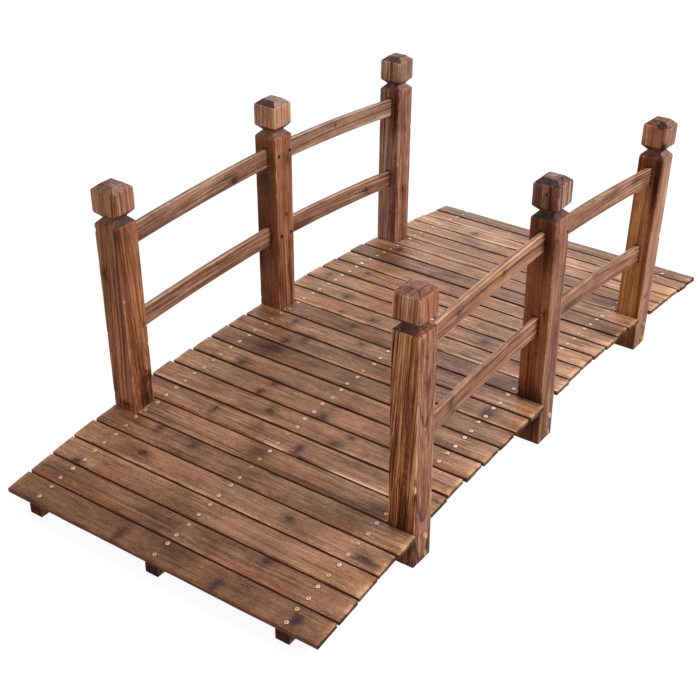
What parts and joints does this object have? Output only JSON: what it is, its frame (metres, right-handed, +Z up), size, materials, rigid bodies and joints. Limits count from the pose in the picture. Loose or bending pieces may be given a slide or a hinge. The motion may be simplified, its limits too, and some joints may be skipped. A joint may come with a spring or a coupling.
{
  "type": "arched wooden footbridge",
  "caption": "Low arched timber garden footbridge: cross boards on sawn stringers, square posts with notched bevelled caps and curved twin rails each side.",
  "frame": {"origin": "on the ground under the middle of the bridge, at the centre of its footprint", "axes": "+X along the walkway, +Y to the left-hand railing, +Z up"},
  "size_m": [1.4998, 0.704, 0.5565],
  "materials": {
    "deck_wood": "heat-darkened softwood, planed, unvarnished, screwed down",
    "post_wood": "heat-darkened softwood with scorched cap and neck",
    "rail_wood": "heat-darkened softwood, sawn to a curve and planed",
    "stringer_wood": "heat-darkened softwood, sawn"
  },
  "bodies": {
    "root": {"stringer_left": "stringer_wood", "stringer_middle": "stringer_wood", "stringer_right": "stringer_wood", "post_left_near": "post_wood", "post_left_middle": "post_wood", "post_left_far": "post_wood", "post_right_near": "post_wood", "post_right_middle": "post_wood", "post_right_far": "post_wood", "upper_rail_left_near": "rail_wood", "upper_rail_left_far": "rail_wood", "lower_rail_left_near": "rail_wood", "lower_rail_left_far": "rail_wood", "upper_rail_right_near": "rail_wood", "upper_rail_right_far": "rail_wood", "lower_rail_right_near": "rail_wood", "lower_rail_right_far": "rail_wood", "deck_board_01": "deck_wood", "deck_board_02": "deck_wood", "deck_board_03": "deck_wood", "deck_board_04": "deck_wood", "deck_board_05": "deck_wood", "deck_board_06": "deck_wood", "deck_board_07": "deck_wood", "deck_board_08": "deck_wood", "deck_board_09": "deck_wood", "deck_board_10": "deck_wood", "deck_board_11": "deck_wood", "deck_board_12": "deck_wood", "deck_board_13": "deck_wood", "deck_board_14": "deck_wood", "deck_board_15": "deck_wood", "deck_board_16": "deck_wood", "deck_board_17": "deck_wood", "deck_board_18": "deck_wood", "deck_board_19": "deck_wood", "deck_board_20": "deck_wood", "deck_board_21": "deck_wood", "deck_board_22": "deck_wood", "deck_board_23": "deck_wood", "deck_board_24": "deck_wood", "deck_board_25": "deck_wood", "deck_board_26": "deck_wood", "deck_board_27": "deck_wood"}
  },
  "joints": []
}
